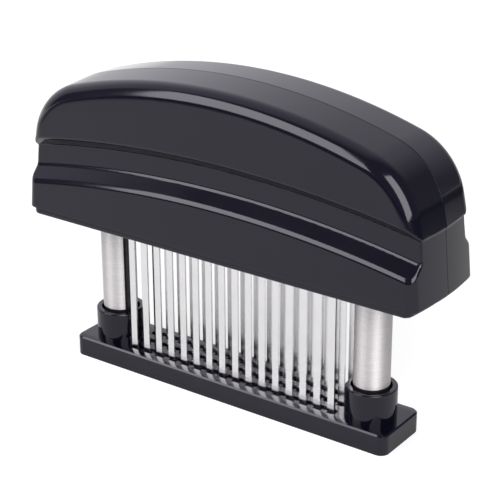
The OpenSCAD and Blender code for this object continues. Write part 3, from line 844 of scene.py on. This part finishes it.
def camera():
    """The photograph's camera."""
    data = bpy.data.cameras.new("camera")
    data.sensor_width = SENSOR_MM
    data.lens = FOCAL_PIXELS * SENSOR_MM / PHOTO_SIDE
    data.clip_start, data.clip_end = CLIP_START, CLIP_END
    obj = placed("camera", data)
    azimuth, elevation, roll = (math.radians(v) for v in CAMERA_ANGLES)
    back = away(azimuth, elevation)
    right = Vector((math.cos(azimuth), math.sin(azimuth), 0))
    up = back.cross(right)
    turned_right = right * math.cos(roll) + up * math.sin(roll)
    turned_up = up * math.cos(roll) - right * math.sin(roll)
    m = Matrix((turned_right, turned_up, back)).transposed().to_4x4()
    m.translation = Vector(CAMERA_PLACE) * MM
    obj.matrix_world = m
    bpy.context.scene.camera = obj


def area_light(name, azimuth, elevation, size, turn, power):
    """Soft box at a distance from the handle, at these angles and turned in its own plane."""
    data = bpy.data.lights.new(name, "AREA")
    data.shape = "RECTANGLE"
    data.size, data.size_y = size
    data.energy = power
    obj = placed(name, data)
    way = away(math.radians(azimuth), math.radians(elevation))
    obj.location = way * LAMP_DISTANCE + Vector(LAMP_TARGET)
    obj.rotation_mode = "QUATERNION"
    turned = Quaternion((0, 0, 1), math.radians(-turn))
    obj.rotation_quaternion = (-way).to_track_quat("-Z", "Y") @ turned


def ray_kinds(tree):
    """1 for camera and glass rays, and 1 for mirror rays; both 0 for the rest."""
    path = add(tree, "LightPath")
    direct = calc(tree, "MAXIMUM", path.outputs["Is Camera Ray"], path.outputs["Is Transmission Ray"])
    return direct, path.outputs["Is Glossy Ray"]


def world():
    """Studio: white to the eye. In mirrors a lit backdrop low behind on the left, dim elsewhere."""
    studio = bpy.data.worlds.new("studio")
    bpy.context.scene.world = studio
    studio.use_nodes = True
    tree = studio.node_tree
    background = tree.nodes["Background"]
    place = add(tree, "TexCoord").outputs["Generated"]
    stops = [(at, (value,) * 3) for at, value in BACKDROP_STOPS]
    fall_off = ramp(tree, reach_along(tree, place, BACKDROP_AXIS), stops)
    lit = calc(tree, "MULTIPLY", fall_off, BACKDROP_LEVEL)
    ahead_of_camera = spread(tree, part_of(tree, place, "Y"), 0, 1, start=-0.37, end=-0.28)
    backdrop = between(tree, "FLOAT", ahead_of_camera, BEHIND_CAMERA, lit)
    direct, glossy = ray_kinds(tree)
    level = between(tree, "FLOAT", glossy, ROOM_LEVEL, backdrop)
    tree.links.new(between(tree, "FLOAT", direct, level, 1.0), background.inputs["Strength"])
    tree.links.new(between(tree, "RGBA", glossy, WHITE, BACKDROP_TINT), background.inputs["Color"])


def floor_material():
    """White to the eye, with the shadow. In mirrors it has a painted glow, most towards the lit backdrop,
    and painted shade far out away from it.
    """
    material, tree, shader = new_material("floor_white")
    shader.inputs["Roughness"].default_value = 1
    shader.inputs["Specular IOR Level"].default_value = 0
    shader.inputs["Emission Color"].default_value = WHITE
    direct, glossy = ray_kinds(tree)
    place = add(tree, "TexCoord").outputs["Object"]
    length = add(tree, "VectorMath", operation="LENGTH")
    tree.links.new(place, length.inputs[0])
    reach = length.outputs["Value"]
    far = spread(tree, reach, 0, 0.9, start=0.34, end=0.55)
    # Painted shade: in mirrors the floor's colour is darkened far out on the side away from the lit
    # backdrop.
    painted_shade_side = spread(tree, reach_along(tree, place, FLOOR_LIT_WAY), 1, 0, start=0.15, end=0.6)
    painted_shade = calc(tree, "MULTIPLY", calc(tree, "MULTIPLY", far, painted_shade_side), glossy)
    tree.links.new(ramp(tree, painted_shade, FLOOR_AND_PAINTED_SHADE_TONES), shader.inputs["Base Color"])
    # Painted glow: in mirrors the floor glows, most towards the lit backdrop, which also fills its shadow
    # near the part.
    near = calc(tree, "SUBTRACT", glossy, painted_shade)
    painted_glow = calc(tree, "MULTIPLY", near, spread(tree, painted_shade_side, 0.9, 0.2, start=0, end=1))
    whiten = spread(tree, reach, 0.62, 0.97, start=0.25, end=1.4)
    # Even white to the eye, plus the painted glow in mirrors.
    white_and_painted_glow = calc(tree, "MULTIPLY_ADD", direct, whiten, painted_glow)
    tree.links.new(white_and_painted_glow, shader.inputs["Emission Strength"])
    return material


def floor():
    """Pale floor under the part."""
    mesh = bpy.data.meshes.new("floor")
    h = FLOOR_HALF
    mesh.from_pydata([(-h, -h, 0), (h, -h, 0), (h, h, 0), (-h, h, 0)], [], [(0, 1, 2, 3)])
    obj = placed("floor", mesh)
    paint(obj, floor_material())


def soften_edges(node, width):
    """Small rounds on the sharp edges of a CAD node, as a modifier."""
    bevel = frame["nodes"][node].modifiers.new("edge_rounds", "BEVEL")
    bevel.width = width
    bevel.segments = 2
    bevel.limit_method = "ANGLE"
    bevel.angle_limit = math.radians(35)
    bevel.harden_normals = True


def main():
    """The camera, the dressed part and the studio."""
    bpy.context.scene.view_settings.view_transform = "Standard"
    camera()
    materials = piece_materials()
    handle_shells(materials["handle_gloss"])
    springs(materials["spring_steel"])
    soften_edges("base_plate", 0.1 * MM)
    for name, obj in frame["nodes"].items():
        paint(obj, materials[slot_of(name)])
    world()
    floor()
    for lamp in LAMPS:
        area_light(*lamp)


main()
